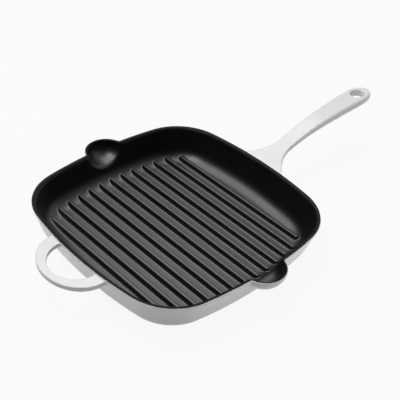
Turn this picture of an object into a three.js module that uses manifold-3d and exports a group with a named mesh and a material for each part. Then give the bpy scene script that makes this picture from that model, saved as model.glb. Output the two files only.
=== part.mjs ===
// Square cast-iron griddle pan with raised ribs, two pouring spouts, a long handle and a loop handle.
// Millimetres, +Z up. The origin is the middle of the base's underside, +X points to the long handle.
import * as THREE from 'three';
import { mergeVertices } from 'three/addons/utils/BufferGeometryUtils.js';
import Module from 'manifold-3d';

const wasm = await Module();
wasm.setup();

// Pan: a rounded square with bowed sides and a drafted wall
const RIM_HALF = 125.8; // middle of the pan to the middle of a side, at the rim
const SIDE_RADIUS = 436.8; // bow of each side
const CORNER_RADIUS = 58.6;
const RIM_HEIGHT = 38;
const LIP_WIDTH = 4.8; // wall thickness at the rim
const FLOOR_THICKNESS = 5;
const WALL_DRAFT = THREE.MathUtils.degToRad(18);
const BASE_EDGE_RADIUS = 15; // outside, wall to base
const FLOOR_EDGE_RADIUS = 18; // inside, wall to floor
const COAT = 1; // black coat inside
const CLEARANCE = 0.3; // between a piece and the one it seats on

// Ribs across the floor, evenly spread about the middle
const RIB_PITCH = 14.85;
const RIB_SIDE_MARGIN = 31; // least distance from the rim to the outermost rib's middle
const RIB_HEIGHT = 5;
const RIB_FOOT_WIDTH = 6.2;
const RIB_SHOULDER_WIDTH = 4.2;
const RIB_CROWN_WIDTH = 2.4;
const RIB_CROWN_DROP = 0.8; // shoulder below the crown
const RIB_END_INSET = 17.5; // rim to the tip of a rib
const RIB_NOSE_LENGTH = 6;

// Pouring spouts: half bowls near the middle of two sides
const SPOUT_RADIUS = 23.6;
const SPOUT_DEPTH = 20;
const SPOUT_INSET = 7.6; // bowl's axis inside the rim
const SPOUT_OFFSET = 3; // bowl's axis off the middle, toward the long handle
const SPOUT_WALL = 3.5; // at the lip
const SPOUT_FLOOR = 2.6; // under the dish

// Long handle: an arched strap, flared at its root, with a thick oval paddle at its end
const HANDLE_REACH = 177.2; // rim to the end
const HANDLE_ROOT_DROP = 2.7; // top of the root under the rim
const HANDLE_ARCH = 33.2; // control height of the arch over the rim
const HANDLE_END_RISE = 28.9; // top of the end over the rim
const HANDLE_ROOT_HALF = 30;
const HANDLE_WAIST_HALF = 9.1;
const HANDLE_PADDLE_HALF = 13.3;
const HANDLE_END_LENGTH = 22.4; // length of the oval end
const HANDLE_FLARE = 36; // length of the root's flare
const HANDLE_FLARE_POWER = 2.2;
const HANDLE_EDGE_AT_WAIST = 3.4; // height of the side face
const HANDLE_EDGE_AT_GRIP = 5.2;
const HANDLE_GRIP_START = 127; // rim to where the grip has its full section
const HANDLE_TIP_START = 142; // rim to where the belly starts to rise to the tip
const HANDLE_DEPTH_AT_WAIST = 9.7; // thickness on the middle line
const HANDLE_DEPTH_AT_GRIP = 14;
const HANDLE_DEPTH_AT_TIP = 7.6;
const HANDLE_DEPTH_AT_ROOT = 17;
const HANG_HOLE_FROM_END = 20.5;
const HANG_HOLE_LENGTH = 18;
const HANG_HOLE_WIDTH = 14.8;

// Loop handle: a flat D with the pan's wall as its straight side
const LOOP_REACH = 35.2;
const LOOP_HALF_WIDTH = 41;
const LOOP_HOLE_RADIUS = 27.2;
const LOOP_HOLE_CORNER = 5;
const LOOP_THICKNESS = 6.6;
const LOOP_DROP = 1.4; // top of the loop under the rim

// Facets
const SIDE_STEPS = 6;
const CORNER_STEPS = 9;
const EDGE_STEPS = 5;
const BOWL_STEPS = 32;
const BOWL_RINGS = 6;
const NOSE_STEPS = 3;
const STRAP_STEPS = 22;
const END_STEPS = 6;
const BELLY_STEPS = 8;
const LOOP_STEPS = 28;
const HOLE_STEPS = 20;
const OVERCUT = 10; // how far a cutter runs past what it cuts

const enamelWhite = { color: 0xf1f0ec, roughness: 0.18, metalness: 0 };
const enamelBlack = { color: 0x1c1c1c, roughness: 0.45, metalness: 0 };

// Closed mesh of three.js as a solid: shared corners merged, faces without area left out.
function solid(geometry) {
  const bare = geometry.clone();
  bare.deleteAttribute('normal');
  bare.deleteAttribute('uv');
  const merged = mergeVertices(bare);
  const index = merged.index.array;
  const triangles = [];
  for (let i = 0; i < index.length; i += 3) {
    const [a, b, c] = index.slice(i, i + 3);
    if (a !== b && b !== c && c !== a) triangles.push(a, b, c);
  }
  return new wasm.Manifold(new wasm.Mesh({
    numProp: 3,
    vertProperties: merged.attributes.position.array,
    triVerts: new Uint32Array(triangles),
  }));
}

function geometryOf(body) {
  const mesh = body.getMesh();
  const geometry = new THREE.BufferGeometry();
  geometry.setAttribute('position', new THREE.BufferAttribute(mesh.vertProperties, 3));
  geometry.setIndex(new THREE.BufferAttribute(mesh.triVerts, 1));
  geometry.computeVertexNormals();
  return geometry;
}

// Closed skin through rings with the same number of points, with a flat cap on the first and last.
function loft(rings) {
  const count = rings[0].length;
  const faces = [];
  for (let ring = 0; ring + 1 < rings.length; ring++) {
    for (let i = 0; i < count; i++) {
      const here = ring * count + i;
      const next = ring * count + ((i + 1) % count);
      faces.push(here, next, next + count, here, next + count, here + count);
    }
  }
  const last = (rings.length - 1) * count;
  for (let i = 1; i + 1 < count; i++) {
    faces.push(0, i + 1, i);
    faces.push(last, last + i, last + i + 1);
  }
  return new THREE.BufferGeometry().setFromPoints(rings.flat()).setIndex(faces);
}

function arc(x, y, radius, from, to, steps) {
  return new THREE.EllipseCurve(x, y, radius, radius, from, to).getPoints(steps).slice(0, -1);
}

// The rim's outline drawn in by an inset: its half width, its two radii and its corner's centre.
function outlineSizes(inset) {
  const half = RIM_HALF - inset;
  const side = SIDE_RADIUS - inset;
  const corner = CORNER_RADIUS - inset;
  const behind = side - half;
  const reach = side - corner;
  const centre = (Math.sqrt(2 * reach ** 2 - behind ** 2) - behind) / 2;
  return { side, corner, behind, centre };
}

function outline(inset) {
  const { side, corner, behind, centre } = outlineSizes(inset);
  const turn = Math.atan2(centre, centre + behind);
  const quarter = [
    ...arc(-behind, 0, side, -turn, turn, SIDE_STEPS),
    ...arc(centre, centre, corner, turn, Math.PI / 2 - turn, CORNER_STEPS),
  ];
  const middle = new THREE.Vector2();
  return [0, 1, 2, 3].flatMap((quadrant) =>
    quarter.map((point) => point.clone().rotateAround(middle, (quadrant * Math.PI) / 2)));
}

// Distance from the middle line to the outline, measured along Y at a place on X.
function outlineReach(inset, x) {
  const { side, corner, behind, centre } = outlineSizes(inset);
  const turn = Math.atan2(centre, centre + behind);
  const across = Math.abs(x);
  if (across <= side * Math.sin(turn)) return Math.sqrt(side ** 2 - across ** 2) - behind;
  return centre + Math.sqrt(corner ** 2 - (across - centre) ** 2);
}

// Drafted wall with a round edge at its foot: rings of the outline from the foot to the top.
function vessel(foot, top, rimInset, edgeRadius) {
  const wallRun = (top - foot - edgeRadius) * Math.tan(WALL_DRAFT);
  const edgeInset = rimInset + wallRun + edgeRadius / Math.cos(WALL_DRAFT);
  const rings = [];
  for (let step = 0; step <= EDGE_STEPS; step++) {
    const angle = THREE.MathUtils.lerp(Math.PI / 2, WALL_DRAFT, step / EDGE_STEPS);
    const inset = edgeInset - edgeRadius * Math.cos(angle);
    const z = foot + edgeRadius * (1 - Math.sin(angle));
    rings.push(outline(inset).map((point) => new THREE.Vector3(point.x, point.y, z)));
  }
  rings.push(outline(rimInset).map((point) => new THREE.Vector3(point.x, point.y, top)));
  return rings;
}

// Half bowl of a spout with its flat mouth at the rim and a straight collar above it.
function bowl(radius, depth, collar) {
  const profile = new THREE.EllipseCurve(0, 0, radius, depth, -Math.PI / 2, 0).getPoints(BOWL_RINGS);
  if (collar > 0) profile.push(new THREE.Vector2(radius, collar));
  profile.push(new THREE.Vector2(0, collar));
  return new THREE.LatheGeometry(profile, BOWL_STEPS).rotateX(Math.PI / 2);
}

function spouts(radius, depth, collar) {
  const axis = RIM_HALF - SPOUT_INSET;
  const bowls = [-axis, axis].map((y) =>
    solid(bowl(radius, depth, collar).translate(SPOUT_OFFSET, y, RIM_HEIGHT)));
  return bowls[0].add(bowls[1]);
}

// Outside of the pan's body, grown by a margin.
function outside(margin) {
  return solid(loft(vessel(0, RIM_HEIGHT, -margin, BASE_EDGE_RADIUS)));
}

// Space inside the pan, with its skin moved out by a depth, running up past the rim.
function inside(depth) {
  const rimInset = LIP_WIDTH - depth / Math.cos(WALL_DRAFT);
  const rings = vessel(FLOOR_THICKNESS - depth, RIM_HEIGHT, rimInset, FLOOR_EDGE_RADIUS + depth);
  const raised = rings.at(-1).map((point) => point.clone().setZ(RIM_HEIGHT + OVERCUT));
  return solid(loft([...rings, raised]));
}

// The same space with the dishes of the spouts.
function basin(depth) {
  const dishDepth = SPOUT_DEPTH - SPOUT_FLOOR + depth;
  return inside(depth).add(spouts(SPOUT_RADIUS - SPOUT_WALL + depth, dishDepth, OVERCUT));
}

// Block over the whole pan, from a height up past the rim.
function above(height) {
  const span = 2 * (RIM_HALF + SPOUT_RADIUS);
  const thickness = RIM_HEIGHT + OVERCUT - height;
  return solid(new THREE.BoxGeometry(span, span, thickness).translate(0, 0, height + thickness / 2));
}

function panCasting() {
  return outside(0).add(spouts(SPOUT_RADIUS, SPOUT_DEPTH, 0));
}

function panBody() {
  return panCasting()
    .subtract(basin(COAT + CLEARANCE))
    .subtract(above(RIM_HEIGHT - COAT - CLEARANCE));
}

// Coat of the inner faces that also covers the lip.
function innerEnamel() {
  return panCasting()
    .intersect(basin(COAT).add(above(RIM_HEIGHT - COAT)))
    .subtract(basin(0));
}

// Rib along Y at a place on X: its section shrinks to a round nose where it runs into the wall.
function rib(x) {
  const reach = outlineReach(RIB_END_INSET, x);
  const seat = FLOOR_THICKNESS + CLEARANCE;
  const crown = FLOOR_THICKNESS + RIB_HEIGHT;
  const stations = [];
  for (let step = 0; step < NOSE_STEPS; step++) {
    const angle = (Math.PI / 2) * ((step + 0.5) / NOSE_STEPS);
    stations.push([reach - RIB_NOSE_LENGTH * (1 - Math.cos(angle)), Math.sin(angle)]);
  }
  stations.push([reach - RIB_NOSE_LENGTH, 1]);
  const ring = ([y, size]) => {
    const top = THREE.MathUtils.lerp(seat, crown, size);
    const shoulder = Math.max(top - RIB_CROWN_DROP * size, seat);
    const half = (width) => (width / 2) * size;
    return [
      new THREE.Vector3(x - half(RIB_FOOT_WIDTH), y, seat),
      new THREE.Vector3(x - half(RIB_SHOULDER_WIDTH), y, shoulder),
      new THREE.Vector3(x - half(RIB_CROWN_WIDTH), y, top),
      new THREE.Vector3(x + half(RIB_CROWN_WIDTH), y, top),
      new THREE.Vector3(x + half(RIB_SHOULDER_WIDTH), y, shoulder),
      new THREE.Vector3(x + half(RIB_FOOT_WIDTH), y, seat),
    ];
  };
  const near = stations.map(([y, size]) => ring([-y, size]));
  const far = stations.map(ring).reverse();
  return solid(loft([...near, ...far])).intersect(inside(-CLEARANCE));
}

// Share of the root's flare that is left at a distance from the rim.
function rootFlare(along) {
  return Math.max(1 - along / HANDLE_FLARE, 0) ** HANDLE_FLARE_POWER;
}

// Half width of the long handle: flare, waist, paddle and oval end.
function handleHalfWidth(along) {
  const endStart = HANDLE_REACH - HANDLE_END_LENGTH;
  const swell = THREE.MathUtils.smoothstep(along, HANDLE_FLARE, endStart);
  const half = HANDLE_WAIST_HALF
    + (HANDLE_ROOT_HALF - HANDLE_WAIST_HALF) * rootFlare(along)
    + (HANDLE_PADDLE_HALF - HANDLE_WAIST_HALF) * swell;
  const pastStart = Math.max(along - endStart, 0) / HANDLE_END_LENGTH;
  return half * Math.sqrt(1 - pastStart ** 2);
}

// Share of the grip's section that is reached at a distance from the rim.
function gripSwell(along) {
  return THREE.MathUtils.smoothstep(along, HANDLE_FLARE, HANDLE_GRIP_START);
}

// Thickness of the long handle on its middle line.
function handleDepth(along) {
  const rise = THREE.MathUtils.smoothstep(along, HANDLE_TIP_START, HANDLE_REACH);
  const grip = THREE.MathUtils.lerp(HANDLE_DEPTH_AT_GRIP, HANDLE_DEPTH_AT_TIP, rise);
  const strap = THREE.MathUtils.lerp(HANDLE_DEPTH_AT_WAIST, grip, gripSwell(along));
  return THREE.MathUtils.lerp(strap, HANDLE_DEPTH_AT_ROOT, rootFlare(along));
}

// Section of the long handle: flat top, upright sides and a round belly.
function handleSection(x, top) {
  const along = x - RIM_HALF;
  const half = handleHalfWidth(along);
  const edge = THREE.MathUtils.lerp(HANDLE_EDGE_AT_WAIST, HANDLE_EDGE_AT_GRIP, gripSwell(along));
  const depth = handleDepth(along);
  const belly = new THREE.EllipseCurve(0, top - edge, half, depth - edge, 0, -Math.PI, true);
  const section = [new THREE.Vector2(-half, top), new THREE.Vector2(half, top)];
  section.push(...belly.getPoints(BELLY_STEPS));
  return section.map((point) => new THREE.Vector3(x, point.x, point.y)).reverse();
}

function longHandle() {
  const arch = new THREE.QuadraticBezierCurve(
    new THREE.Vector2(RIM_HALF, RIM_HEIGHT - HANDLE_ROOT_DROP),
    new THREE.Vector2(RIM_HALF + HANDLE_REACH / 2, RIM_HEIGHT + HANDLE_ARCH),
    new THREE.Vector2(RIM_HALF + HANDLE_REACH, RIM_HEIGHT + HANDLE_END_RISE),
  );
  const endStart = 1 - HANDLE_END_LENGTH / HANDLE_REACH;
  const places = [];
  for (let step = 0; step < STRAP_STEPS; step++) places.push((endStart * step) / STRAP_STEPS);
  for (let step = 0; step < END_STEPS; step++) {
    const turn = (Math.PI / 2) * (step / END_STEPS);
    places.push(THREE.MathUtils.lerp(endStart, 1, Math.sin(turn)));
  }
  const rings = places.map((place) => {
    const point = arch.getPoint(place);
    return handleSection(point.x, point.y);
  });
  const root = rings[0].map((point) => point.clone().setX(RIM_HALF - LIP_WIDTH - OVERCUT));
  const hole = new THREE.CylinderGeometry(1, 1, 2 * RIM_HEIGHT, HOLE_STEPS)
    .rotateX(Math.PI / 2)
    .scale(HANG_HOLE_LENGTH / 2, HANG_HOLE_WIDTH / 2, 1)
    .translate(RIM_HALF + HANDLE_REACH - HANG_HOLE_FROM_END, 0, RIM_HEIGHT + HANDLE_END_RISE);
  return solid(loft([root, ...rings])).subtract(outside(CLEARANCE)).subtract(solid(hole));
}

function loopHandle() {
  const wall = -RIM_HALF;
  const inWall = wall + LIP_WIDTH;
  const buried = inWall + OVERCUT;
  const shape = new THREE.Shape();
  shape.moveTo(buried, LOOP_HALF_WIDTH);
  shape.lineTo(wall, LOOP_HALF_WIDTH);
  shape.absellipse(wall, 0, LOOP_REACH, LOOP_HALF_WIDTH, Math.PI / 2, 1.5 * Math.PI);
  shape.lineTo(buried, -LOOP_HALF_WIDTH);

  // The hole's round side turns into the wall through two small corners.
  const cornerY = Math.sqrt((LOOP_HOLE_RADIUS - LOOP_HOLE_CORNER) ** 2 - LOOP_HOLE_CORNER ** 2);
  const turn = Math.atan2(cornerY, -LOOP_HOLE_CORNER);
  const hole = new THREE.Path();
  hole.moveTo(inWall, -cornerY);
  hole.lineTo(wall, -cornerY);
  hole.absarc(wall - LOOP_HOLE_CORNER, -cornerY, LOOP_HOLE_CORNER, 0, -turn, true);
  hole.absarc(wall, 0, LOOP_HOLE_RADIUS, -turn, turn, true);
  hole.absarc(wall - LOOP_HOLE_CORNER, cornerY, LOOP_HOLE_CORNER, turn, 0, true);
  hole.lineTo(inWall, cornerY);
  shape.holes.push(hole);

  const flat = new THREE.ExtrudeGeometry(shape, {
    depth: LOOP_THICKNESS,
    bevelEnabled: false,
    curveSegments: LOOP_STEPS,
  }).translate(0, 0, RIM_HEIGHT - LOOP_DROP - LOOP_THICKNESS);
  return solid(flat).subtract(outside(CLEARANCE));
}

function piece(name, body, finish) {
  const mesh = new THREE.Mesh(geometryOf(body), new THREE.MeshStandardMaterial(finish));
  mesh.name = name;
  return mesh;
}

const griddle = new THREE.Group();
griddle.name = 'griddle';
griddle.add(piece('pan_body', panBody(), enamelWhite));
griddle.add(piece('inner_enamel', innerEnamel(), enamelBlack));
const ribsEachSide = Math.floor((RIM_HALF - RIB_SIDE_MARGIN) / RIB_PITCH);
for (let place = -ribsEachSide; place <= ribsEachSide; place++) {
  const number = String(place + ribsEachSide + 1).padStart(2, '0');
  griddle.add(piece(`rib_${number}`, rib(place * RIB_PITCH), enamelBlack));
}
griddle.add(piece('long_handle', longHandle(), enamelWhite));
griddle.add(piece('loop_handle', loopHandle(), enamelWhite));

export default griddle;
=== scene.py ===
"""Looks of the square griddle pan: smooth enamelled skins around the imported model.

Lengths are millimetres in the shape functions and metres in Blender. +X points to the long handle.
"""
import math

import bmesh
import bpy
import numpy as np
from mathutils import Matrix, Vector


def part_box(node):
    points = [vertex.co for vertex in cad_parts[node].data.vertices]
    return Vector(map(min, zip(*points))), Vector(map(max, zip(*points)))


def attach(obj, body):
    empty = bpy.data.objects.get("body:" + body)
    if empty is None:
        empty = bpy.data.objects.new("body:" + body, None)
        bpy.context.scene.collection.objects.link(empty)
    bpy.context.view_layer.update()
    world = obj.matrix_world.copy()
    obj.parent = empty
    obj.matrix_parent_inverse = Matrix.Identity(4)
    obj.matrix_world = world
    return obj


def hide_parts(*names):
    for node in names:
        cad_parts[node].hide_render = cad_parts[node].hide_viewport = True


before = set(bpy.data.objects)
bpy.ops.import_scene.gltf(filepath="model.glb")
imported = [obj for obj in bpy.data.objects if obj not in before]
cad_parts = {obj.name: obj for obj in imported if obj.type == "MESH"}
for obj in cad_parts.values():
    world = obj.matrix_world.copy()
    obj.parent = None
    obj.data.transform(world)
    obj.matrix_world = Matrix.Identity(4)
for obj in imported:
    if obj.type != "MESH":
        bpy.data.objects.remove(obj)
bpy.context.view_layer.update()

MM = 0.001
BODY = "root"
RIB_NAMES = sorted(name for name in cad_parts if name.startswith("rib_"))


def corners_mm(node):
    low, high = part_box(node)
    return np.array(low) / MM, np.array(high) / MM


# Pan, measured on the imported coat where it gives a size
COAT_HIGH = corners_mm("inner_enamel")[1]
RIM_HALF = float(COAT_HIGH[0])
RIM_HEIGHT = float(COAT_HIGH[2])
SIDE_RADIUS = 436.8
CORNER_RADIUS = 58.6
LIP_WIDTH = 4.8
LIP_LEAN = math.tan(math.radians(9))  # fall of the lip's top toward the inside
LIP_OUTER_ROUND = 1.3
LIP_INNER_ROUND = 2.0
COAT_EDGE_TILT = math.radians(25)  # lean of the lip's outer round where the white ends and the black begins
COAT_EDGE = RIM_HEIGHT - LIP_OUTER_ROUND * (1 - math.cos(COAT_EDGE_TILT))
COAT_UNDER = RIM_HEIGHT - 2.0  # top of the coat's hidden back
FLOOR_THICKNESS = 5.0
DRAFT = math.radians(18)
BASE_EDGE_RADIUS = 15.0
FLOOR_EDGE_RADIUS = 18.0
COAT_BACK = 0.8  # hidden back of the black coat, behind its face
SHELL_BACK = 1.2  # hidden inside of the white shell, behind the same face

# Spouts
SPOUT_RADIUS = 23.6
SPOUT_AXIS = float(COAT_HIGH[1]) - SPOUT_RADIUS
SPOUT_OFFSET = 3.0  # off the middle of the side, toward the long handle
SPOUT_DEPTH = 20.0
DISH_RADIUS = 20.1
DISH_DEPTH = 17.4
BOWL_FILLET = 1.2
DISH_EDGE_ROUND = 5.0

# Ribs
RIB_HEIGHT = 5.0
RIB_FOOT_HALF = 3.1
RIB_SHOULDER_HALF = 2.0
RIB_CROWN_ROUND = 0.9
RIB_FOOT_FILLET = 2.0
RIB_TOE = 3.0  # width of the fillet and the hidden edge round it
RIB_SINK = 0.04  # the hidden edge lies this far under the floor's face
RIB_BURIED = 0.7  # rib's underside in the floor

# Long handle
HANDLE_LOW, HANDLE_HIGH = corners_mm("long_handle")
HANDLE_REACH = 177.2
HANDLE_ROOT_DROP = 2.7
HANDLE_ARCH = 33.2
HANDLE_END_RISE = 28.9
HANDLE_ROOT_HALF = 30.0
HANDLE_WAIST_HALF = 9.1
HANDLE_PADDLE_HALF = 13.3
HANDLE_END_LENGTH = 22.4
HANDLE_FLARE = 36.0
HANDLE_FLARE_POWER = 2.2
HANDLE_EDGE_AT_WAIST = 3.4
HANDLE_EDGE_AT_GRIP = 5.2
HANDLE_GRIP_START = 127.0
HANDLE_TIP_START = 142.0
HANDLE_DEPTH_AT_WAIST = 9.7
HANDLE_DEPTH_AT_GRIP = 14.0
HANDLE_DEPTH_AT_TIP = 7.6
HANDLE_DEPTH_AT_ROOT = 17.0
HANDLE_EDGE_ROUND_AT_WAIST = 1.5
HANDLE_EDGE_ROUND_AT_GRIP = 3.9
HANG_HOLE_FROM_END = 20.5
HANG_HOLE_HALF_LENGTH = 9.0
HANG_HOLE_HALF_WIDTH = 7.4
HANG_HOLE_ROUND = 2.0
HANDLE_MARGIN = np.array([6.0, 12.0, 8.0])  # room for the root's fillet in the grid

# Loop handle
LOOP_LOW, LOOP_HIGH = corners_mm("loop_handle")
LOOP_REACH = -RIM_HALF - float(LOOP_LOW[0])
LOOP_HALF_WIDTH = float(LOOP_HIGH[1])
LOOP_HOLE_RADIUS = 27.2
LOOP_CORNER = 2.5
LOOP_EDGE_ROUND = 1.0
LOOP_UNDER_ROUND = 3.2
LOOP_MARGIN = 2.0  # room round the loop in its grid, past its corners' fillet
LOOP_TRIM = 1.0  # the fillet is cut off this far past its reach

# Roots of the handles: a fillet that grows from the lip down the wall
ROOT_FILLET_TOP = 1.8
ROOT_FILLET_LOW = 5.0
ROOT_FILLET_FROM = 3.0
ROOT_FILLET_TO = 10.0
ROOT_SINK = 0.05  # fillet's edge under the wall's face
ROOT_BURIED = 3.0  # how deep a handle's end sits in the wall

# Mesh steps
SETTLE_STEP = 0.02  # for slopes
SETTLE_MOST = 1.5  # longest move in one round
NOTCH_ROUNDS = 40
FLOOR_ROWS = 4
LIP_ROWS = 9
LIP_OUTER_ROWS = 5
LIP_START_TILT = math.radians(66)  # where the shell's rings on the lip's outer round begin
LIP_FALL_POWER = 4  # first guess of how the lip falls to its inner side
SPOUT_SHIFT_X = (40, 85)  # between these places the columns lose the spouts' offset along the side
SPOUT_SHIFT_Y = (40, 100)  # and gain it across the pan
SPOUT_EASE = 1.7  # the side's columns crowd toward the spout
DIP_SHARE = 0.7  # of a bowl's depth: where the wall's upper rows end far from it
DIP_SPREAD = 12.0
SHARP_FROM = math.radians(50)
SIDE_COLUMNS = 14
CORNER_COLUMNS = 26
SPOUT_SIDE_COLUMNS = 14
SPOUT_COLUMNS = 14
RIB_STEPS = 26
RIB_NOSE_STEPS = 16
RIB_ARC_STEPS = 5
RIB_FLANK_STEPS = 3
HALVINGS = 36
HANDLE_CELL = 0.8
LOOP_CELL = 0.5


# Distances

def round_max(a, b, radius):
    """Intersection of two distances with a round edge."""
    beyond = np.hypot(np.maximum(a + radius, 0), np.maximum(b + radius, 0))
    return np.minimum(np.maximum(a, b), -radius) + beyond


def round_min(a, b, radius):
    """Union of two distances with a fillet."""
    return -round_max(-a, -b, radius)


def round_corner(a, b, lean, radius):
    """Intersection of two planes with a true round edge. lean is the product of their normals."""
    a_in, b_in = a + radius, b + radius
    along_a = (a_in - lean * b_in) / (1 - lean**2)
    along_b = (b_in - lean * a_in) / (1 - lean**2)
    arc = np.sqrt(np.maximum(along_a * a_in + along_b * b_in, 0)) - radius
    return np.where((along_a > 0) & (along_b > 0), arc, np.maximum(a, b))


def ellipse_distance(x, y, half_x, half_y):
    """Close distance from an ellipse."""
    scaled = np.hypot(x / half_x, y / half_y)
    slope = np.hypot(x / half_x**2, y / half_y**2)
    middle = slope < 1e-9
    return np.where(middle, -np.minimum(half_x, half_y), scaled * (scaled - 1) / np.where(middle, 1, slope))


def smooth(value, start, end):
    share = np.clip((value - start) / (end - start), 0, 1)
    return share * share * (3 - 2 * share)


SIDE_BEHIND = SIDE_RADIUS - RIM_HALF
CORNER_CENTRE = (
    math.sqrt(2 * (SIDE_RADIUS - CORNER_RADIUS) ** 2 - SIDE_BEHIND**2) - SIDE_BEHIND
) / 2
SIDE_TURN = math.atan2(CORNER_CENTRE, CORNER_CENTRE + SIDE_BEHIND)


def outline_distance(x, y):
    """Distance in plan from the rim: four bowed sides and four round corners."""
    far, near = np.maximum(np.abs(x), np.abs(y)), np.minimum(np.abs(x), np.abs(y))
    side = np.hypot(far + SIDE_BEHIND, near) - SIDE_RADIUS
    corner = np.hypot(far - CORNER_CENTRE, near - CORNER_CENTRE) - CORNER_RADIUS
    return np.where(np.arctan2(near, far + SIDE_BEHIND) < SIDE_TURN, side, corner)


def vessel_distance(x, y, z, inset, foot, edge):
    """Distance from a drafted vessel: wall, foot and the round edge between them."""
    wall = (outline_distance(x, y) + inset) * math.cos(DRAFT) + (RIM_HEIGHT - z) * math.sin(DRAFT)
    return round_corner(wall, foot - z, math.sin(DRAFT), edge)


def bowl_distance(x, y, z, radius, depth):
    """Close distance from the half bowls of the two spouts."""
    plan = np.hypot(x - SPOUT_OFFSET, np.abs(y) - SPOUT_AXIS)
    return ellipse_distance(plan, z - RIM_HEIGHT, radius, depth)


def outside(x, y, z):
    vessel = vessel_distance(x, y, z, 0, 0, BASE_EDGE_RADIUS)
    return round_min(vessel, bowl_distance(x, y, z, SPOUT_RADIUS, SPOUT_DEPTH), BOWL_FILLET)


def inside(x, y, z):
    vessel = vessel_distance(x, y, z, LIP_WIDTH, FLOOR_THICKNESS, FLOOR_EDGE_RADIUS)
    return round_min(vessel, bowl_distance(x, y, z, DISH_RADIUS, DISH_DEPTH), DISH_EDGE_ROUND)


def shell(x, y, z):
    """The pan's outer face and the top of its lip, with the round edge between them."""
    outer = outside(x, y, z)
    return round_max(outer, z - RIM_HEIGHT + LIP_LEAN * np.maximum(-outer, 0), LIP_OUTER_ROUND)


def skin(x, y, z):
    """The pan with its lip."""
    return round_max(shell(x, y, z), -inside(x, y, z), LIP_INNER_ROUND)


def handle(x, y, z):
    """Long handle: an arched strap with a flared root, a round belly, a round end and a hang hole."""
    along = x - RIM_HALF
    place = np.clip(along / HANDLE_REACH, -0.1, 1.1)
    heights = -HANDLE_ROOT_DROP, HANDLE_ARCH, HANDLE_END_RISE
    top = RIM_HEIGHT + (1 - place) ** 2 * heights[0] + 2 * place * (1 - place) * heights[1]
    top = top + place**2 * heights[2]
    slope = 2 * ((1 - place) * (heights[1] - heights[0]) + place * (heights[2] - heights[1]))
    upright = 1 / np.hypot(1, slope / HANDLE_REACH)
    under = (z - top) * upright

    left = np.clip(1 - along / HANDLE_FLARE, 0, 1.2)
    flare = left**HANDLE_FLARE_POWER
    end_start = HANDLE_REACH - HANDLE_END_LENGTH
    half = HANDLE_WAIST_HALF + (HANDLE_ROOT_HALF - HANDLE_WAIST_HALF) * flare
    half = half + (HANDLE_PADDLE_HALF - HANDLE_WAIST_HALF) * smooth(along, HANDLE_FLARE, end_start)
    grip = smooth(along, HANDLE_FLARE, HANDLE_GRIP_START)
    edge = HANDLE_EDGE_AT_WAIST + (HANDLE_EDGE_AT_GRIP - HANDLE_EDGE_AT_WAIST) * grip
    edge_round = HANDLE_EDGE_ROUND_AT_WAIST + (HANDLE_EDGE_ROUND_AT_GRIP - HANDLE_EDGE_ROUND_AT_WAIST) * grip
    rise = smooth(along, HANDLE_TIP_START, HANDLE_REACH)
    thick = HANDLE_DEPTH_AT_GRIP + (HANDLE_DEPTH_AT_TIP - HANDLE_DEPTH_AT_GRIP) * rise
    strap_depth = HANDLE_DEPTH_AT_WAIST + (thick - HANDLE_DEPTH_AT_WAIST) * grip
    depth = strap_depth + (HANDLE_DEPTH_AT_ROOT - strap_depth) * flare
    spread = (HANDLE_ROOT_HALF - HANDLE_WAIST_HALF) * HANDLE_FLARE_POWER / HANDLE_FLARE
    lean = 1 / np.hypot(1, spread * left ** (HANDLE_FLARE_POWER - 1))

    across = half + ellipse_distance(np.maximum(along - end_start, 0), y, HANDLE_END_LENGTH, half)
    sides = ellipse_distance(across, np.minimum(under + edge, 0), half, depth - edge) * lean
    strap = round_max(under, sides, edge_round)
    hole_x = RIM_HALF + HANDLE_REACH - HANG_HOLE_FROM_END
    hole = ellipse_distance(x - hole_x, y, HANG_HOLE_HALF_LENGTH, HANG_HOLE_HALF_WIDTH)
    return round_max(strap, -hole, HANG_HOLE_ROUND)


def loop_plan(x, y):
    """Plan of the loop handle: a half ring against the wall."""
    ring = ellipse_distance(np.minimum(x + RIM_HALF, 0), y, LOOP_REACH, LOOP_HALF_WIDTH)
    return np.maximum(ring, LOOP_HOLE_RADIUS - np.hypot(x + RIM_HALF, y))


def rooted_handle(x, y, z):
    """Long handle grown onto the wall by a fillet. It ends a little way inside the wall."""
    strap, wall = handle(x, y, z), shell(x, y, z)
    below = smooth(RIM_HEIGHT - z, ROOT_FILLET_FROM, ROOT_FILLET_TO)
    fillet = ROOT_FILLET_TOP + (ROOT_FILLET_LOW - ROOT_FILLET_TOP) * below
    grown = round_min(np.maximum(wall, z - COAT_EDGE) + ROOT_SINK, strap, fillet)
    return np.maximum(np.maximum(grown, -outside(x, y, z) - ROOT_BURIED), strap - ROOT_FILLET_LOW)


def rooted_loop(x, y, z):
    """Loop handle with a flat top, its corners at the wall and its underside filled. It ends in the wall."""
    plan, wall = loop_plan(x, y), shell(x, y, z)
    ring = round_max(plan, LOOP_LOW[2] - z, LOOP_UNDER_ROUND)
    grown = round_min(wall + ROOT_SINK, ring, LOOP_CORNER)
    topped = round_max(grown, z - LOOP_HIGH[2], LOOP_EDGE_ROUND)
    return np.maximum(np.maximum(topped, -outside(x, y, z) - ROOT_BURIED), plan - LOOP_CORNER - LOOP_TRIM)


# Meshes

def settle(distance, points, level=0.0, rounds=8, flat=False):
    """Moves points along the slope of a distance onto one of its levels. flat keeps their heights."""
    step, most = SETTLE_STEP, SETTLE_MOST
    points = points.copy()
    for _ in range(rounds):
        x, y, z = points.T
        slope = np.stack([
            distance(x + step, y, z) - distance(x - step, y, z),
            distance(x, y + step, z) - distance(x, y - step, z),
            distance(x, y, z + step) - distance(x, y, z - step),
        ], 1) / (2 * step)
        if flat:
            slope[:, 2] = 0
        size = np.maximum((slope**2).sum(1), 1e-6)
        move = np.clip((distance(x, y, z) - level) / np.sqrt(size), -most, most) / np.sqrt(size)
        points -= slope * move[:, None]
    return points


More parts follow.
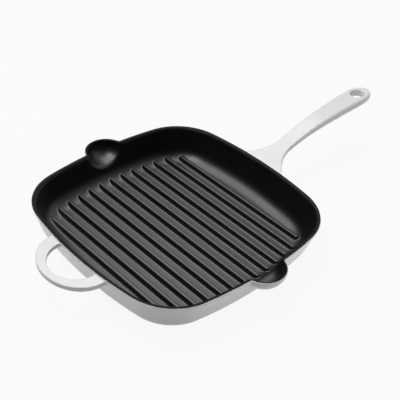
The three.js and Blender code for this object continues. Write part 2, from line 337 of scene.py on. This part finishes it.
def make_object(name, points, faces, finish, slot_name, *nodes):
    mesh = bpy.data.meshes.new(name)
    mesh.from_pydata((points * MM).tolist(), [], faces)
    mesh.shade_smooth()
    mesh.set_sharp_from_angle(angle=SHARP_FROM)
    mesh.materials.append(finish)
    piece = bpy.data.objects.new(name, mesh)
    bpy.context.scene.collection.objects.link(piece)
    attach(piece, BODY)
    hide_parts(*nodes)
    return piece


def closed_rings(rings):
    """Points and faces of a closed skin through rings of one size, with a point at each end."""
    count = len(rings[0])
    points = np.concatenate([rings[0].mean(0, keepdims=True), *rings, rings[-1].mean(0, keepdims=True)])
    faces = []
    for ring in range(len(rings) - 1):
        start = 1 + ring * count
        for i in range(count):
            j = (i + 1) % count
            faces.append((start + i, start + j, start + count + j, start + count + i))
    last, end = 1 + (len(rings) - 1) * count, len(points) - 1
    for i in range(count):
        j = (i + 1) % count
        faces.append((0, 1 + j, 1 + i))
        faces.append((end, last + i, last + j))
    return points, faces


def surface_net(distance, low, high, cell):
    """Quads on a distance's zero level, one point in each cell of a grid that the level passes."""
    axes = [np.arange(a - 2 * cell, b + 3 * cell, cell) for a, b in zip(low, high)]
    grid = np.meshgrid(*axes, indexing="ij")
    value = distance(*grid)
    solid = value < 0
    shape = np.array(value.shape) - 1
    total, count = np.zeros((*shape, 3)), np.zeros(shape)
    for axis in range(3):
        others = [a for a in range(3) if a != axis]
        for shift in ((0, 0), (0, 1), (1, 0), (1, 1)):
            start = [slice(0, n) for n in shape]
            for other, step in zip(others, shift):
                start[other] = slice(step, shape[other] + step)
            end = list(start)
            end[axis] = slice(1, shape[axis] + 1)
            a, b = value[tuple(start)], value[tuple(end)]
            crossed = solid[tuple(start)] != solid[tuple(end)]
            share = np.where(crossed, a / np.where(crossed, a - b, 1), 0)
            for k in range(3):
                place = grid[k][tuple(start)] + (share * cell if k == axis else 0)
                total[..., k] += np.where(crossed, place, 0)
            count += crossed
    used = count > 0
    number = np.full(shape, -1)
    number[used] = np.arange(used.sum())
    points = total[used] / count[used][:, None]
    faces = []
    for axis in range(3):
        u, v = (axis + 1) % 3, (axis + 2) % 3
        start = [slice(1, n) for n in shape]
        start[axis] = slice(0, shape[axis])
        end = list(start)
        end[axis] = slice(1, shape[axis] + 1)
        here, there = solid[tuple(start)], solid[tuple(end)]
        around = []
        for back_u, back_v in ((1, 1), (0, 1), (0, 0), (1, 0)):
            cells = [slice(1, n) for n in shape]
            cells[axis] = slice(0, shape[axis])
            cells[u] = slice(1 - back_u, shape[u] - back_u)
            cells[v] = slice(1 - back_v, shape[v] - back_v)
            around.append(number[tuple(cells)])
        leaving, entering = here & ~there, there & ~here
        faces += np.stack([a[leaving] for a in around], 1).tolist()
        faces += np.stack([a[entering] for a in around[::-1]], 1).tolist()
    return settle(distance, points, rounds=4), faces


# Pan: rings of columns, a quarter at a time, from the long handle's side to a spout

def full_turn(quarter):
    mirrored = quarter[::-1]
    flip_x, flip_y, flip = np.array([-1, 1, 1]), np.array([1, -1, 1]), np.array([-1, -1, 1])
    ring = np.concatenate([quarter, mirrored[1:] * flip_x, quarter[1:] * flip, mirrored[1:-1] * flip_y])
    by_spout = smooth(np.abs(ring[:, 1]), *SPOUT_SHIFT_Y) * (1 - smooth(np.abs(ring[:, 0]), *SPOUT_SHIFT_X))
    ring[:, 0] += SPOUT_OFFSET * by_spout
    return ring


def side_reach(inset, x):
    """How far the sides with the spouts lie from the middle, at a place along them."""
    return np.sqrt((SIDE_RADIUS - inset) ** 2 - x**2) - SIDE_BEHIND


def notch_x(radius, inset):
    """Half width of a spout where its circle leaves the outline."""
    x = radius
    for _ in range(NOTCH_ROUNDS):
        x = math.sqrt(radius**2 - (side_reach(inset, x) - SPOUT_AXIS) ** 2)
    return x


class Face:
    """Columns of one face of the pan: where its wall, its bowls and its foot lie."""

    def __init__(self, inset, radius, depth, foot, edge, least_dip):
        self.inset, self.radius, self.depth = inset, radius, depth
        self.foot, self.edge = foot, edge
        self.notch = notch_x(radius, inset)
        self.edge_top = foot + edge * (1 - math.sin(DRAFT))
        self.edge_inset = self.wall_inset(self.edge_top) + edge * math.cos(DRAFT)
        turns = math.asin(self.notch / radius) * np.linspace(1, 0, SPOUT_COLUMNS + 1)[1:]
        self.spout_x = radius * np.sin(turns)
        self.spout_share = np.cos(turns)
        gap = side_reach(inset, self.spout_x) - SPOUT_AXIS
        ahead, down = radius * self.spout_share, depth * self.spout_share * math.tan(DRAFT)
        self.crease = np.arctan2(down, ahead) + np.arccos(np.clip(gap / np.hypot(ahead, down), -1, 1))
        self.crease_dip = np.maximum(depth * self.spout_share * np.sin(self.crease), least_dip)
        self.least_dip = least_dip

    def wall_inset(self, z):
        return self.inset + (RIM_HEIGHT - z) * math.tan(DRAFT)

    def side_columns(self, inset):
        """Plan points of the wall's columns at an inset, without those of the spout."""
        side, corner = SIDE_RADIUS - inset, CORNER_RADIUS - inset
        first = np.linspace(0, SIDE_TURN, SIDE_COLUMNS, endpoint=False)
        second = np.linspace(SIDE_TURN, math.pi / 2 - SIDE_TURN, CORNER_COLUMNS, endpoint=False)
        ease = 1 - (1 - np.linspace(0, 1, SPOUT_SIDE_COLUMNS)) ** SPOUT_EASE
        third_end = math.acos(self.notch / side)
        third = (math.pi / 2 - SIDE_TURN) * (1 - ease) + third_end * ease
        return np.concatenate([
            np.stack([-SIDE_BEHIND + side * np.cos(first), side * np.sin(first)], 1),
            np.stack([CORNER_CENTRE + corner * np.cos(second), CORNER_CENTRE + corner * np.sin(second)], 1),
            np.stack([side * np.cos(third), -SIDE_BEHIND + side * np.sin(third)], 1),
        ])

    def plain_ring(self, inset, z):
        """Ring at one height below the spouts."""
        spout = np.stack([self.spout_x, side_reach(inset, self.spout_x)], 1)
        plan = np.concatenate([self.side_columns(inset), spout])
        return full_turn(np.column_stack([plan, np.full(len(plan), z)]))

    def dip(self):
        """Depth under the rim, for each column, where its upper rows end: the crease of a bowl."""
        columns = self.side_columns(self.inset)
        away = np.linalg.norm(columns - columns[-1], axis=1)
        most = self.depth * DIP_SHARE
        wall = self.least_dip + (most - self.least_dip) * (1 - np.exp(-away / DIP_SPREAD))
        return np.concatenate([wall, self.crease_dip])

    def wall_ring(self, dips):
        """Ring on the wall at a depth of its own for each column of a quarter."""
        sides = len(dips) - len(self.spout_x)
        points = []
        for i, dip in enumerate(dips):
            inset = self.inset + dip * math.tan(DRAFT)
            if i < sides:
                plan = self.side_columns(inset)[i]
            else:
                x = self.spout_x[i - sides]
                plan = x, side_reach(inset, x)
            points.append((*plan, RIM_HEIGHT - dip))
        return np.array(points)

    def upper_ring(self, share, start_dip):
        """Ring between the lip (share 0) and the crease (share 1), over the wall and the bowls."""
        dips = self.dip()
        sides = len(dips) - len(self.spout_x)
        start = np.minimum(start_dip, dips / 2)
        points = self.wall_ring(start + (dips - start) * share)
        first = np.arcsin(np.clip(start_dip / (self.depth * self.spout_share), 0, 1))
        first = np.minimum(first, self.crease / 2)
        angle = first + (self.crease - first) * share
        points[sides:, 1] = SPOUT_AXIS + self.radius * self.spout_share * np.cos(angle)
        points[sides:, 2] = RIM_HEIGHT - self.depth * self.spout_share * np.sin(angle)
        return full_turn(points)

    def lower_ring(self, share):
        """Ring between the crease (share 0) and the top of the foot's edge (share 1)."""
        dips = self.dip()
        return full_turn(self.wall_ring(dips + (RIM_HEIGHT - self.edge_top - dips) * share))

    def lip_ring(self, inset, z):
        """Ring at one height near the rim, with the circles of the spouts."""
        radius = self.radius - (inset - self.inset)
        plan = self.side_columns(inset)
        turns = np.arcsin(np.clip(self.spout_x / self.radius, -1, 1))
        spout = np.stack([radius * np.sin(turns), SPOUT_AXIS + radius * np.cos(turns)], 1)
        plan = np.concatenate([plan, spout])
        return full_turn(np.column_stack([plan, np.full(len(plan), z)]))

    def rows(self, upper, lower, edge, floor, start_dip):
        """Rings from the middle of the foot up to the lip."""
        rings = []
        for step in range(1, floor + 1):
            rings.append(self.plain_ring(self.edge_inset, self.foot) * [step / floor, step / floor, 1])
        for angle in np.linspace(math.pi / 2, DRAFT, edge + 1)[1:]:
            inset = self.edge_inset - self.edge * math.cos(angle)
            rings.append(self.plain_ring(inset, self.foot + self.edge * (1 - math.sin(angle))))
        rings += [self.lower_ring(share) for share in np.linspace(1, 0, lower + 1)[1:]]
        rings += [self.upper_ring(share, start_dip) for share in np.linspace(1, 0, upper + 1)[1:]]
        return rings


OUTER = Face(0, SPOUT_RADIUS, SPOUT_DEPTH, 0, BASE_EDGE_RADIUS, least_dip=4.0)
INNER = Face(LIP_WIDTH, DISH_RADIUS, DISH_DEPTH, FLOOR_THICKNESS, FLOOR_EDGE_RADIUS, least_dip=3.2)


def round_ring(tilt):
    """Ring on the outer round of the lip, where it leans by an angle."""
    inset, drop = LIP_OUTER_ROUND * (1 - math.sin(tilt)), LIP_OUTER_ROUND * (1 - math.cos(tilt))
    return settle(shell, OUTER.lip_ring(inset, RIM_HEIGHT - drop))


def lip_rings():
    """Rings over the lip, from its inner side to where the two enamels meet on its outer round."""
    edge = round_ring(COAT_EDGE_TILT)
    inner = INNER.lip_ring(LIP_WIDTH, RIM_HEIGHT)
    rings = []
    for share in np.linspace(0, 1, LIP_ROWS + 1)[1:-1]:
        guess = inner * (1 - share) + edge * share
        guess[:, 2] = RIM_HEIGHT - LIP_INNER_ROUND * (1 - share) ** LIP_FALL_POWER
        rings.append(settle(skin, guess))
    return [*rings, edge]


def hidden_rings(back):
    """Rings of a skin behind the cooking face, from the lip down to the middle of the floor."""
    rings = INNER.rows(upper=4, lower=2, edge=3, floor=2, start_dip=3.0)[::-1]
    under_lip = settle(inside, INNER.lip_ring(LIP_WIDTH - back, COAT_UNDER), back, flat=True)
    return [under_lip, *(settle(inside, ring, back) for ring in rings)]


def pan_shell(finish):
    rows = OUTER.rows(upper=12, lower=5, edge=8, floor=FLOOR_ROWS, start_dip=1.5)
    rows = rows[:FLOOR_ROWS] + [settle(shell, row) for row in rows[FLOOR_ROWS:]]
    lip = [round_ring(tilt) for tilt in np.linspace(LIP_START_TILT, COAT_EDGE_TILT, LIP_OUTER_ROWS)]
    rings = [*rows, *lip, *hidden_rings(SHELL_BACK)]
    points, faces = closed_rings(rings)
    return make_object("pan_shell", points, faces, finish, "white_enamel", "pan_body")


def cooking_face(finish):
    rows = INNER.rows(upper=12, lower=6, edge=20, floor=FLOOR_ROWS, start_dip=2.6)
    rows = rows[:FLOOR_ROWS] + [settle(skin, row) for row in rows[FLOOR_ROWS:]]
    rings = [*rows, *lip_rings(), *hidden_rings(COAT_BACK)]
    points, faces = closed_rings(rings)
    faces = [face[::-1] for face in faces]
    return make_object("cooking_face", points, faces, finish, "black_enamel", "inner_enamel")


# Ribs

def rib_in_floor(x_middle, straight, top):
    """Distance from a rib together with the floor it grows out of."""
    slant = math.atan2(RIB_FOOT_HALF - RIB_SHOULDER_HALF, top - FLOOR_THICKNESS)

    def distance(x, y, z):
        across = np.hypot(x - x_middle, np.maximum(np.abs(y) - straight, 0))
        side = (across - RIB_FOOT_HALF) * math.cos(slant) + (z - FLOOR_THICKNESS) * math.sin(slant)
        body = round_max(side, z - top, RIB_CROWN_ROUND)
        return round_min(-inside(x, y, z), body, RIB_FOOT_FILLET)

    return distance


def height_over(distance, x, y):
    """Height of a face over a plan, found by halving."""
    low, high = np.full(len(x), FLOOR_THICKNESS - 1), np.full(len(x), RIM_HEIGHT)
    for _ in range(HALVINGS):
        middle = (low + high) / 2
        metal = distance(x, y, middle) < 0
        low, high = np.where(metal, middle, low), np.where(metal, high, middle)
    return (low + high) / 2


def rib_offsets():
    """Distances of a rib's rings from its middle line: toe, foot fillet, flank, crown and middle."""
    slant = math.atan2(RIB_FOOT_HALF - RIB_SHOULDER_HALF, RIB_HEIGHT)
    turns = np.linspace(0, math.pi / 2 - slant, RIB_ARC_STEPS + 1)
    run = math.tan(turns[-1] / 2)
    foot = RIB_FOOT_HALF + RIB_FOOT_FILLET * (run - np.sin(turns))
    crown = RIB_SHOULDER_HALF - RIB_CROWN_ROUND * (run - np.sin(turns[::-1]))
    flank = np.linspace(foot[-1], crown[0], RIB_FLANK_STEPS + 1)[1:-1]
    return [RIB_FOOT_HALF + RIB_TOE, *foot, *flank, *crown, 0]


def rib(node, finish):
    low, high = corners_mm(node)
    x_middle, straight, top = (low[0] + high[0]) / 2, high[1] - RIB_FOOT_HALF, high[2]
    along = straight * np.sin(np.linspace(-1, 1, RIB_STEPS + 1) * math.pi / 2)
    turn = np.linspace(0, math.pi, RIB_NOSE_STEPS + 1)[1:-1]
    plain, bow = np.ones(len(along)), np.ones(len(turn))
    spine = np.concatenate([along, straight * bow, along[::-1], -straight * bow])
    aside = np.concatenate([plain, np.cos(turn), -plain, -np.cos(turn)])
    ahead = np.concatenate([0 * plain, np.sin(turn), 0 * plain, -np.sin(turn)])
    distance = rib_in_floor(x_middle, straight, top)

    rings = []
    for across in rib_offsets():
        x, y = x_middle + aside * across, spine + ahead * across
        rings.append(np.column_stack([x, y, height_over(distance, x, y)]))
    rings[0][:, 2] -= RIB_SINK
    under = rings[0] - [0, 0, RIB_BURIED]
    middle = np.full(len(spine), x_middle)
    floor = height_over(lambda x, y, z: -inside(x, y, z), middle, spine)
    rings = [np.column_stack([middle, spine, floor - RIB_BURIED]), under, *rings]
    count = len(spine)
    faces = []
    for row in range(len(rings) - 1):
        for i in range(count):
            j = (i + 1) % count
            faces.append((row * count + i, row * count + j, (row + 1) * count + j, (row + 1) * count + i))
    piece = make_object(node + "_cast", np.concatenate(rings), faces, finish, "black_enamel", node)
    weld(piece)
    return piece


def weld(piece):
    """Joins points that lie on each other and turns the faces out."""
    mesh = bmesh.new()
    mesh.from_mesh(piece.data)
    bmesh.ops.remove_doubles(mesh, verts=mesh.verts, dist=1e-6)
    bmesh.ops.recalc_face_normals(mesh, faces=mesh.faces)
    mesh.to_mesh(piece.data)
    mesh.free()


# Handles

def long_handle(finish):
    root = RIM_HALF - ROOT_BURIED - LIP_WIDTH
    low = np.array([root, -HANDLE_ROOT_HALF, HANDLE_LOW[2]]) - HANDLE_MARGIN
    high = np.array([RIM_HALF + HANDLE_REACH, HANDLE_ROOT_HALF + HANDLE_MARGIN[1], HANDLE_HIGH[2]])
    points, faces = surface_net(rooted_handle, low, high, HANDLE_CELL)
    return make_object("long_handle_cast", points, faces, finish, "white_enamel", "long_handle")


def loop_handle(finish):
    spread = LOOP_CORNER + LOOP_MARGIN
    low = LOOP_LOW - [0, spread, spread]
    high = LOOP_HIGH + [spread, spread, 0]
    points, faces = surface_net(rooted_loop, low, high, LOOP_CELL)
    return make_object("loop_handle_cast", points, faces, finish, "white_enamel", "loop_handle")


# Materials

NOISE_LOW, NOISE_HIGH = 0.3, 0.7  # the noise's usual range, over which colour and gloss drift
BROAD_DETAIL = 3
FINE_DETAIL = 2
LIP_FADE_START, LIP_FADE_END = 3.0, 1.0  # depths under the rim between which the lip's gleam fades


def enamel(name, colours, gleam, lip_gleam, roughness, drift, grain, depth):
    """Fired enamel: colour and gloss that drift from place to place, over a fine grain. Sizes in mm.

    Its gleam fades up the lip, where the coat is thin.
    """
    material = bpy.data.materials.new(name)
    material.use_nodes = True
    nodes, links = material.node_tree.nodes, material.node_tree.links
    shader = nodes["Principled BSDF"]
    place = nodes.new("ShaderNodeTexCoord")
    axes = nodes.new("ShaderNodeSeparateXYZ")
    links.new(place.outputs["Object"], axes.inputs[0])
    sheen = nodes.new("ShaderNodeMapRange")
    sheen.inputs["From Min"].default_value = (RIM_HEIGHT - LIP_FADE_START) * MM
    sheen.inputs["From Max"].default_value = (RIM_HEIGHT - LIP_FADE_END) * MM
    sheen.inputs["To Min"].default_value = gleam
    sheen.inputs["To Max"].default_value = lip_gleam
    links.new(axes.outputs["Z"], sheen.inputs["Value"])
    links.new(sheen.outputs["Result"], shader.inputs["Specular IOR Level"])

    broad = nodes.new("ShaderNodeTexNoise")
    broad.inputs["Scale"].default_value = 1 / (drift * MM)
    broad.inputs["Detail"].default_value = BROAD_DETAIL
    links.new(place.outputs["Object"], broad.inputs["Vector"])
    ramp = nodes.new("ShaderNodeValToRGB")
    for stop, position, colour in zip(ramp.color_ramp.elements, (NOISE_LOW, NOISE_HIGH), colours):
        stop.position = position
        stop.color = (*colour, 1)
    links.new(broad.outputs["Fac"], ramp.inputs["Fac"])
    links.new(ramp.outputs["Color"], shader.inputs["Base Color"])
    gloss = nodes.new("ShaderNodeMapRange")
    gloss.inputs["From Min"].default_value = NOISE_LOW
    gloss.inputs["From Max"].default_value = NOISE_HIGH
    gloss.inputs["To Min"].default_value = roughness[0]
    gloss.inputs["To Max"].default_value = roughness[1]
    links.new(broad.outputs["Fac"], gloss.inputs["Value"])
    links.new(gloss.outputs["Result"], shader.inputs["Roughness"])

    fine = nodes.new("ShaderNodeTexNoise")
    fine.inputs["Scale"].default_value = 1 / (grain * MM)
    fine.inputs["Detail"].default_value = FINE_DETAIL
    links.new(place.outputs["Object"], fine.inputs["Vector"])
    relief = nodes.new("ShaderNodeBump")
    relief.inputs["Distance"].default_value = depth * MM
    links.new(fine.outputs["Fac"], relief.inputs["Height"])
    links.new(relief.outputs["Normal"], shader.inputs["Normal"])
    return material


# Stage, light and camera

FLOOR_HALF = 6.0
FLOOR_PAINT = 0.6
FLOOR_GLOW = 0.92  # share of plain white in what is seen of the floor
FLOOR_GAP = 0.0001  # the floor lies this far under the base, so that the two faces don't mix
FILL = 0.12  # light from all round
ROOM = 0.008  # how bright a gloss sees the room behind the camera
BACKDROP = 0.8  # and the backdrop
BACKDROP_SIDE = (0.75, 0.3, 0.6)
BACKDROP_FROM, BACKDROP_FULL = 0.3, 1.0  # how far a ray points to that side, where the backdrop begins and is full
LAMP_TARGET = (0.0, 0.0, 0.03)


def seen_directly(nodes, links):
    """1 for rays from the camera, and for those that come off a gloss or through glass."""
    path = nodes.new("ShaderNodeLightPath")
    first, second = nodes.new("ShaderNodeMath"), nodes.new("ShaderNodeMath")
    first.operation = second.operation = "MAXIMUM"
    links.new(path.outputs["Is Camera Ray"], first.inputs[0])
    links.new(path.outputs["Is Glossy Ray"], first.inputs[1])
    links.new(first.outputs[0], second.inputs[0])
    links.new(path.outputs["Is Transmission Ray"], second.inputs[1])
    return second.outputs[0]


def stage_floor():
    mesh = bpy.data.meshes.new("floor")
    corners = [(x * FLOOR_HALF, y * FLOOR_HALF, -FLOOR_GAP) for x, y in ((-1, -1), (1, -1), (1, 1), (-1, 1))]
    mesh.from_pydata(corners, [], [(0, 1, 2, 3)])
    material = bpy.data.materials.new("floor")
    material.use_nodes = True
    nodes, links = material.node_tree.nodes, material.node_tree.links
    nodes.clear()
    output = nodes.new("ShaderNodeOutputMaterial")
    paint = nodes.new("ShaderNodeBsdfDiffuse")
    paint.inputs["Color"].default_value = (FLOOR_PAINT, FLOOR_PAINT, FLOOR_PAINT, 1)
    glow = nodes.new("ShaderNodeEmission")
    both = nodes.new("ShaderNodeMixShader")
    share = nodes.new("ShaderNodeMath")
    share.operation = "MULTIPLY"
    share.inputs[1].default_value = FLOOR_GLOW
    links.new(seen_directly(nodes, links), share.inputs[0])
    links.new(share.outputs[0], both.inputs["Fac"])
    links.new(paint.outputs[0], both.inputs[1])
    links.new(glow.outputs[0], both.inputs[2])
    links.new(both.outputs[0], output.inputs["Surface"])
    mesh.materials.append(material)
    floor = bpy.data.objects.new("floor", mesh)
    bpy.context.scene.collection.objects.link(floor)


def stage_world():
    """White all round for the camera, and dim fill. A gloss sees white at the back and the dark room in front."""
    world = bpy.data.worlds.new("studio")
    bpy.context.scene.world = world
    world.use_nodes = True
    nodes, links = world.node_tree.nodes, world.node_tree.links
    nodes.clear()
    output = nodes.new("ShaderNodeOutputWorld")
    fill = nodes.new("ShaderNodeBackground")
    fill.inputs["Strength"].default_value = FILL
    white = nodes.new("ShaderNodeBackground")
    fill.inputs["Color"].default_value = white.inputs["Color"].default_value = (1, 1, 1, 1)
    both = nodes.new("ShaderNodeMixShader")
    links.new(seen_directly(nodes, links), both.inputs["Fac"])
    links.new(fill.outputs[0], both.inputs[1])
    links.new(white.outputs[0], both.inputs[2])
    links.new(both.outputs[0], output.inputs["Surface"])

    direction = nodes.new("ShaderNodeTexCoord")
    toward = nodes.new("ShaderNodeVectorMath")
    toward.operation = "DOT_PRODUCT"
    toward.inputs[1].default_value = BACKDROP_SIDE
    links.new(direction.outputs["Generated"], toward.inputs[0])
    room = nodes.new("ShaderNodeMapRange")
    room.interpolation_type = "SMOOTHSTEP"
    room.inputs["From Min"].default_value = BACKDROP_FROM
    room.inputs["From Max"].default_value = BACKDROP_FULL
    room.inputs["To Min"].default_value = ROOM
    room.inputs["To Max"].default_value = BACKDROP
    links.new(toward.outputs["Value"], room.inputs["Value"])
    path = nodes.new("ShaderNodeLightPath")
    direct = nodes.new("ShaderNodeMath")
    direct.operation = "MAXIMUM"
    links.new(path.outputs["Is Camera Ray"], direct.inputs[0])
    links.new(room.outputs["Result"], direct.inputs[1])
    links.new(direct.outputs[0], white.inputs["Strength"])


def softbox(name, place, width, height, power, mirrored=True):
    """A lamp that faces the pan. A gloss shows it only if it is mirrored."""
    data = bpy.data.lights.new(name, "AREA")
    data.shape = "RECTANGLE"
    data.size, data.size_y = width, height
    data.energy = power
    lamp = bpy.data.objects.new(name, data)
    lamp.location = place
    lamp.rotation_euler = (Vector(LAMP_TARGET) - Vector(place)).to_track_quat("-Z", "Y").to_euler()
    lamp.visible_glossy = mirrored
    bpy.context.scene.collection.objects.link(lamp)


# Camera from the photo: where it stands round the pan, its roll and its lens, for a square picture
VIEW_AZIMUTH = math.radians(-46.29)
VIEW_ELEVATION = math.radians(38.07)
VIEW_ROLL = math.radians(5.2)
VIEW_DISTANCE = 0.88122
VIEW_TARGET = Vector((0.0244, -0.00803, RIM_HEIGHT * MM))
PICTURE_WIDTH = 400
FOCAL_PIXELS = 864.09
SENSOR = 36.0


def photo_camera():
    back = Vector((
        math.sin(VIEW_AZIMUTH) * math.cos(VIEW_ELEVATION),
        -math.cos(VIEW_AZIMUTH) * math.cos(VIEW_ELEVATION),
        math.sin(VIEW_ELEVATION),
    ))
    right = Vector((0, 0, 1)).cross(back).normalized()
    up = back.cross(right)
    c, s = math.cos(VIEW_ROLL), math.sin(VIEW_ROLL)
    turned_right, turned_up = c * right + s * up, c * up - s * right
    data = bpy.data.cameras.new("photo")
    data.sensor_width = SENSOR
    data.lens = FOCAL_PIXELS * SENSOR / PICTURE_WIDTH
    camera = bpy.data.objects.new("photo", data)
    axes = Matrix((turned_right, turned_up, back)).transposed().to_4x4()
    camera.matrix_world = Matrix.Translation(VIEW_TARGET + back * VIEW_DISTANCE) @ axes
    bpy.context.scene.collection.objects.link(camera)
    bpy.context.scene.camera = camera


photo_camera()
white = enamel(
    "white_enamel", colours=((0.82, 0.82, 0.80), (0.86, 0.86, 0.845)), gleam=0.5, lip_gleam=0.5,
    roughness=(0.16, 0.24), drift=40, grain=5, depth=0.02,
)
black = enamel(
    "black_enamel", colours=((0.0008, 0.0008, 0.0008), (0.0016, 0.0016, 0.0016)), gleam=0.75, lip_gleam=0.12,
    roughness=(0.35, 0.41), drift=30, grain=1.2, depth=0.02,
)
pan_shell(white)
cooking_face(black)
for rib_name in RIB_NAMES:
    rib(rib_name, black)
long_handle(white)
loop_handle(white)

stage_floor()
stage_world()
softbox("key", (-0.32, 0.22, 1.15), width=0.45, height=0.45, power=4.4)
softbox("side", (0.65, -1.1, 0.45), width=1.0, height=1.0, power=3, mirrored=False)
softbox("back", (0.16, 0.5, 1.12), width=1.1, height=0.9, power=8.2)
bpy.context.scene.view_settings.view_transform = "Standard"
